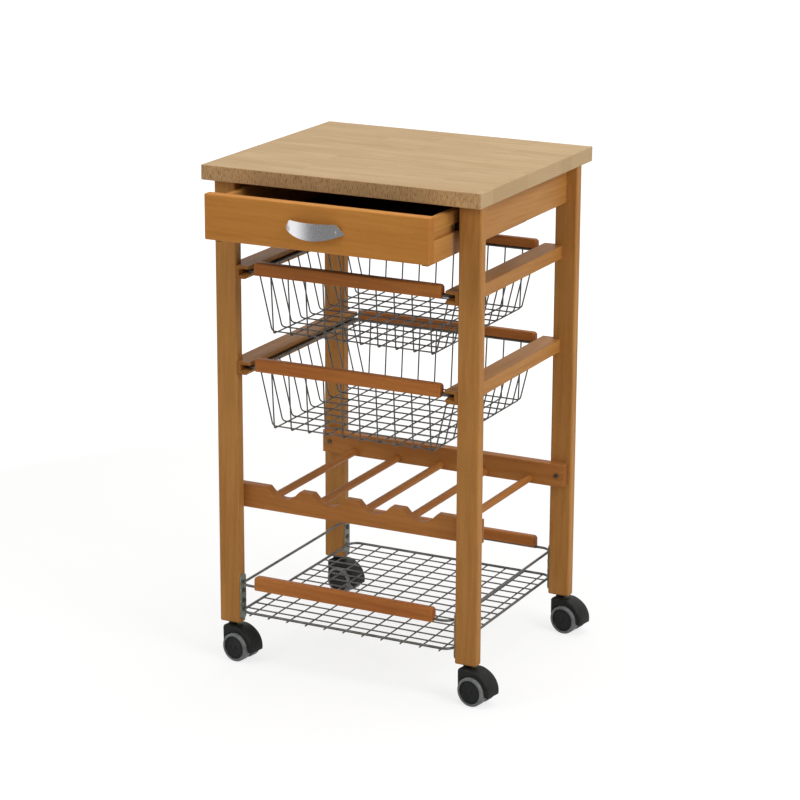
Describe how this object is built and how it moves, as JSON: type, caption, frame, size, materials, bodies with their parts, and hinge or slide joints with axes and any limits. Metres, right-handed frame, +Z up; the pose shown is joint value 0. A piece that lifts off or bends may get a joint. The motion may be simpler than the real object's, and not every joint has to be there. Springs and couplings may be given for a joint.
{
  "type": "kitchen island cart",
  "caption": "Wooden kitchen cart on swivel casters with a drawer, sliding wire baskets, a scalloped bottle rack and a wire shelf.",
  "frame": {"origin": "on the floor below the middle of the worktop", "axes": "+Z up, +X to the cart's right seen from the drawer side, +Y from the drawer side to the back"},
  "size_m": [0.5245, 0.535, 0.854],
  "materials": {
    "worktop_wood": "oiled edge-glued beech staves",
    "frame_wood": "satin lacquered beech, honey brown",
    "drawer_wood": "satin lacquered beech, honey brown",
    "bar_wood": "satin lacquered beech, reddish brown",
    "pin_wood": "plain beech",
    "panel_black": "black faced board",
    "wire": "dark grey coated steel wire",
    "strap": "grey coated steel",
    "handle_steel": "satin brushed steel",
    "screw_steel": "zinc plated",
    "axle_steel": "plain steel",
    "guide_plastic": "black nylon",
    "caster_plastic": "black moulded nylon",
    "wheel_tread": "grey soft tread on a black hub"
  },
  "bodies": {
    "frame": {"worktop": "worktop_wood", "leg_front_left": "frame_wood", "leg_front_right": "frame_wood", "leg_back_left": "frame_wood", "leg_back_right": "frame_wood", "apron_left": "frame_wood", "drawer_guide_left": "guide_plastic", "rail_upper_left": "frame_wood", "rail_lower_left": "frame_wood", "apron_right": "frame_wood", "drawer_guide_right": "guide_plastic", "rail_upper_right": "frame_wood", "rail_lower_right": "frame_wood", "apron_back": "frame_wood", "rack_front_rail": "frame_wood", "rack_rear_rail": "frame_wood", "rack_dowels": "bar_wood", "frame_pins": "pin_wood", "frame_screws": "screw_steel", "worktop_screws": "screw_steel", "caster_stems": "axle_steel", "shelf_upper_ring": "wire", "shelf_lower_ring": "wire", "shelf_long_wires": "wire", "shelf_cross_wires": "wire", "shelf_straps": "strap", "shelf_bars": "bar_wood"},
    "drawer": {"drawer_front": "drawer_wood", "drawer_side_left": "drawer_wood", "drawer_side_right": "drawer_wood", "drawer_back": "drawer_wood", "drawer_bottom": "panel_black", "drawer_handle": "handle_steel", "handle_screws": "screw_steel"},
    "basket_upper": {"basket_upper_rims": "wire", "basket_upper_long_wires": "wire", "basket_upper_cross_wires": "wire", "basket_upper_front_bar": "bar_wood", "basket_upper_back_bar": "bar_wood"},
    "basket_lower": {"basket_lower_rims": "wire", "basket_lower_long_wires": "wire", "basket_lower_cross_wires": "wire", "basket_lower_front_bar": "bar_wood", "basket_lower_back_bar": "bar_wood"},
    "caster_front_left": {"caster_front_left_housing": "caster_plastic", "caster_front_left_axle": "axle_steel"},
    "turning_wheel_front_left_near": {"wheel_front_left_near": "wheel_tread"},
    "turning_wheel_front_left_far": {"wheel_front_left_far": "wheel_tread"},
    "caster_front_right": {"caster_front_right_housing": "caster_plastic", "caster_front_right_axle": "axle_steel"},
    "turning_wheel_front_right_near": {"wheel_front_right_near": "wheel_tread"},
    "turning_wheel_front_right_far": {"wheel_front_right_far": "wheel_tread"},
    "caster_back_left": {"caster_back_left_housing": "caster_plastic", "caster_back_left_axle": "axle_steel"},
    "turning_wheel_back_left_near": {"wheel_back_left_near": "wheel_tread"},
    "turning_wheel_back_left_far": {"wheel_back_left_far": "wheel_tread"},
    "caster_back_right": {"caster_back_right_housing": "caster_plastic", "caster_back_right_axle": "axle_steel"},
    "turning_wheel_back_right_near": {"wheel_back_right_near": "wheel_tread"},
    "turning_wheel_back_right_far": {"wheel_back_right_far": "wheel_tread"}
  },
  "joints": [
    {"name": "drawer_slide", "type": "slide", "parent": "frame", "child": "drawer", "axis": [0, -1, 0], "range_m": [-0.1, 0.18]},
    {"name": "basket_upper_slide", "type": "slide", "parent": "frame", "child": "basket_upper", "axis": [0, -1, 0], "range_m": [0, 0.22]},
    {"name": "basket_lower_slide", "type": "slide", "parent": "frame", "child": "basket_lower", "axis": [0, -1, 0], "range_m": [0, 0.22]},
    {"name": "caster_front_left_swivel", "type": "hinge", "parent": "frame", "child": "caster_front_left", "pos_m": [-0.2205, -0.18625, 0.06], "axis": [0, 0, 1], "continuous": true},
    {"name": "wheel_front_left_near_spin", "type": "hinge", "parent": "caster_front_left", "child": "turning_wheel_front_left_near", "pos_m": [-0.20234, -0.18922, 0.025], "axis": [0.1616, 0.9869, 0], "continuous": true},
    {"name": "wheel_front_left_far_spin", "type": "hinge", "parent": "caster_front_left", "child": "turning_wheel_front_left_far", "pos_m": [-0.20234, -0.18922, 0.025], "axis": [0.1616, 0.9869, 0], "continuous": true},
    {"name": "caster_front_right_swivel", "type": "hinge", "parent": "frame", "child": "caster_front_right", "pos_m": [0.2205, -0.18625, 0.06], "axis": [0, 0, 1], "continuous": true},
    {"name": "wheel_front_right_near_spin", "type": "hinge", "parent": "caster_front_right", "child": "turning_wheel_front_right_near", "pos_m": [0.23866, -0.18922, 0.025], "axis": [0.1616, 0.9869, 0], "continuous": true},
    {"name": "wheel_front_right_far_spin", "type": "hinge", "parent": "caster_front_right", "child": "turning_wheel_front_right_far", "pos_m": [0.23866, -0.18922, 0.025], "axis": [0.1616, 0.9869, 0], "continuous": true},
    {"name": "caster_back_left_swivel", "type": "hinge", "parent": "frame", "child": "caster_back_left", "pos_m": [-0.2205, 0.19025, 0.06], "axis": [0, 0, 1], "continuous": true},
    {"name": "wheel_back_left_near_spin", "type": "hinge", "parent": "caster_back_left", "child": "turning_wheel_back_left_near", "pos_m": [-0.20234, 0.18728, 0.025], "axis": [0.1616, 0.9869, 0], "continuous": true},
    {"name": "wheel_back_left_far_spin", "type": "hinge", "parent": "caster_back_left", "child": "turning_wheel_back_left_far", "pos_m": [-0.20234, 0.18728, 0.025], "axis": [0.1616, 0.9869, 0], "continuous": true},
    {"name": "caster_back_right_swivel", "type": "hinge", "parent": "frame", "child": "caster_back_right", "pos_m": [0.2205, 0.19025, 0.06], "axis": [0, 0, 1], "continuous": true},
    {"name": "wheel_back_right_near_spin", "type": "hinge", "parent": "caster_back_right", "child": "turning_wheel_back_right_near", "pos_m": [0.23866, 0.18728, 0.025], "axis": [0.1616, 0.9869, 0], "continuous": true},
    {"name": "wheel_back_right_far_spin", "type": "hinge", "parent": "caster_back_right", "child": "turning_wheel_back_right_far", "pos_m": [0.23866, 0.18728, 0.025], "axis": [0.1616, 0.9869, 0], "continuous": true}
  ]
}
